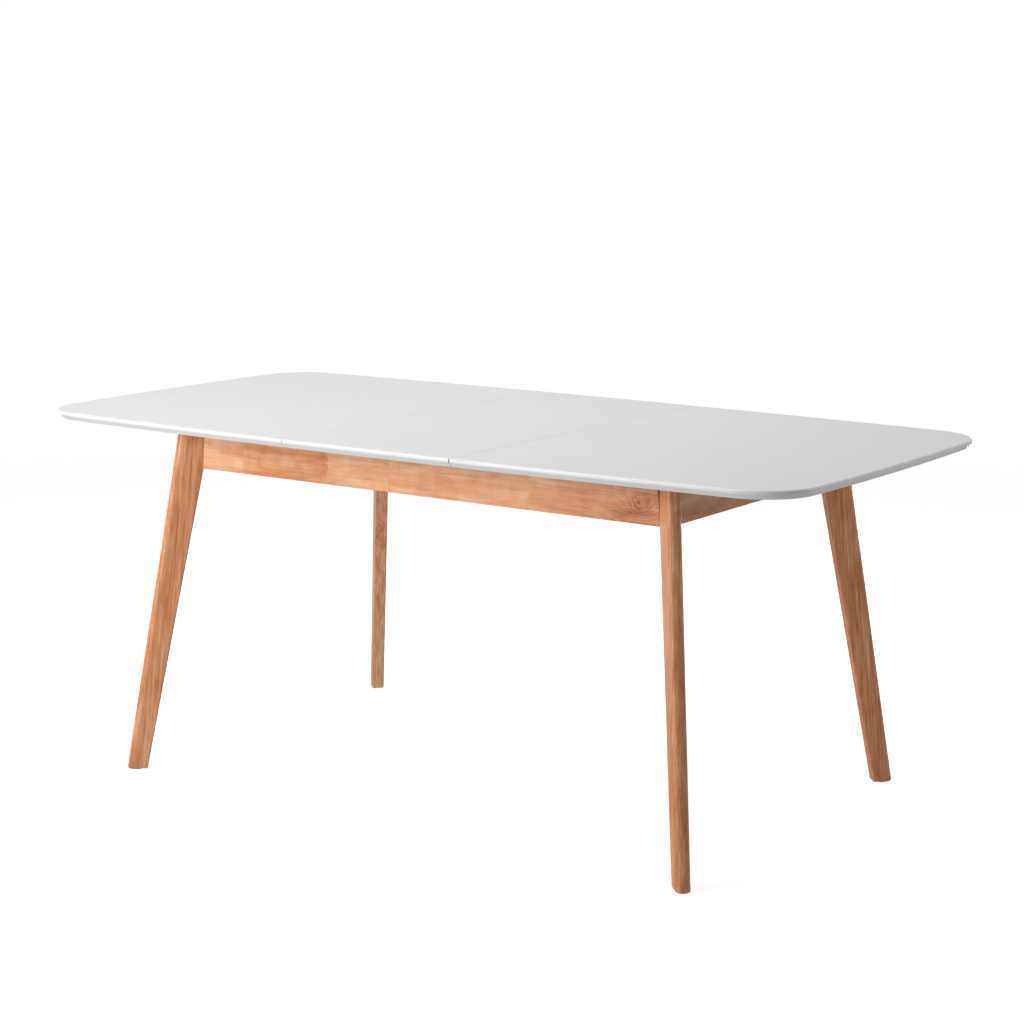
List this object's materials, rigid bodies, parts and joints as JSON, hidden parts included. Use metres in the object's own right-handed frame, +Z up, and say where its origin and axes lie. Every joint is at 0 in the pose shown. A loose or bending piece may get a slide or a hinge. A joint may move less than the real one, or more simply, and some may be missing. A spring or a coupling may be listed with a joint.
{
  "type": "extendable dining table",
  "caption": "Extendable dining table with a thin bowed white top in two sliding halves and a loose leaf, on a wooden apron frame with splayed diagonal legs.",
  "frame": {"origin": "on the floor, under the centre of the opened top", "axes": "+X along the table to its right end, -Y towards its front, +Z up"},
  "size_m": [1.8, 0.9, 0.745],
  "materials": {
    "lacquer_top": "satin white lacquer over a dense board",
    "leg_wood": "clear satin lacquer, straight grain along the leg",
    "apron_wood": "clear satin lacquer, staves with grain along the apron",
    "corner_block_wood": "planed, unfinished",
    "slide_wood": "planed and waxed",
    "bearer_wood": "planed, unfinished",
    "dowel_wood": "fluted beech",
    "zinc_steel": "bright zinc plate",
    "screw_steel": "yellow zinc plate",
    "latch_steel": "stamped and zinc plated",
    "glide_plastic": "moulded nylon",
    "slide_pad": "low-friction nylon"
  },
  "bodies": {
    "frame": {"leg_front_left": "leg_wood", "leg_front_right": "leg_wood", "leg_rear_left": "leg_wood", "leg_rear_right": "leg_wood", "front_apron": "apron_wood", "rear_apron": "apron_wood", "left_apron": "apron_wood", "right_apron": "apron_wood", "corner_block_front_left": "corner_block_wood", "corner_block_front_right": "corner_block_wood", "corner_block_rear_left": "corner_block_wood", "corner_block_rear_right": "corner_block_wood", "front_guide_rail": "slide_wood", "rear_guide_rail": "slide_wood", "left_cross_bearer": "bearer_wood", "right_cross_bearer": "bearer_wood", "apron_dowels": "dowel_wood", "guide_rail_dowels": "dowel_wood", "cross_bearer_dowels": "dowel_wood", "hanger_bolts": "zinc_steel", "hanger_bolt_washers": "zinc_steel", "hanger_bolt_nuts": "zinc_steel", "corner_block_screws": "screw_steel", "guide_rail_screws": "screw_steel", "foot_glide_front_left": "glide_plastic", "foot_glide_front_right": "glide_plastic", "foot_glide_rear_left": "glide_plastic", "foot_glide_rear_right": "glide_plastic", "apron_slide_pads": "slide_pad"},
    "left_half": {"left_top_half": "lacquer_top", "left_front_runner": "slide_wood", "left_rear_runner": "slide_wood", "left_runner_screws": "screw_steel", "left_latch_plates": "latch_steel", "left_latch_pivots": "latch_steel", "left_latch_screws": "screw_steel"},
    "right_half": {"right_top_half": "lacquer_top", "right_front_runner": "slide_wood", "right_rear_runner": "slide_wood", "right_runner_screws": "screw_steel", "right_keeper_plates": "latch_steel", "right_keeper_studs": "latch_steel", "right_keeper_screws": "screw_steel"},
    "leaf": {"leaf": "lacquer_top", "leaf_left_batten": "bearer_wood", "leaf_right_batten": "bearer_wood", "leaf_batten_screws": "screw_steel", "leaf_keeper_plates": "latch_steel", "leaf_keeper_studs": "latch_steel", "leaf_latch_plates": "latch_steel", "leaf_latch_pivots": "latch_steel", "leaf_plate_screws": "screw_steel"},
    "left_front_lever": {"left_front_latch_lever": "latch_steel"},
    "left_rear_lever": {"left_rear_latch_lever": "latch_steel"},
    "leaf_front_lever": {"leaf_front_latch_lever": "latch_steel"},
    "leaf_rear_lever": {"leaf_rear_latch_lever": "latch_steel"}
  },
  "joints": [
    {"name": "left_half_slide", "type": "slide", "parent": "frame", "child": "left_half", "axis": [-1, 0, 0], "range_m": [0, 0.016]},
    {"name": "right_half_slide", "type": "slide", "parent": "frame", "child": "right_half", "axis": [1, 0, 0], "range_m": [0, 0.064]},
    {"name": "leaf_lift", "type": "slide", "parent": "frame", "child": "leaf", "axis": [0, 0, 1], "range_m": [0, 0.3]},
    {"name": "left_front_latch", "type": "hinge", "parent": "left_half", "child": "left_front_lever", "pos_m": [-0.223, -0.236, 0.7253], "axis": [0, 0, 1], "range_deg": [0, 90]},
    {"name": "left_rear_latch", "type": "hinge", "parent": "left_half", "child": "left_rear_lever", "pos_m": [-0.223, 0.236, 0.7253], "axis": [0, 0, -1], "range_deg": [0, 90]},
    {"name": "leaf_front_latch", "type": "hinge", "parent": "leaf", "child": "leaf_front_lever", "pos_m": [0.177, -0.236, 0.7253], "axis": [0, 0, 1], "range_deg": [0, 90]},
    {"name": "leaf_rear_latch", "type": "hinge", "parent": "leaf", "child": "leaf_rear_lever", "pos_m": [0.177, 0.236, 0.7253], "axis": [0, 0, -1], "range_deg": [0, 90]}
  ]
}
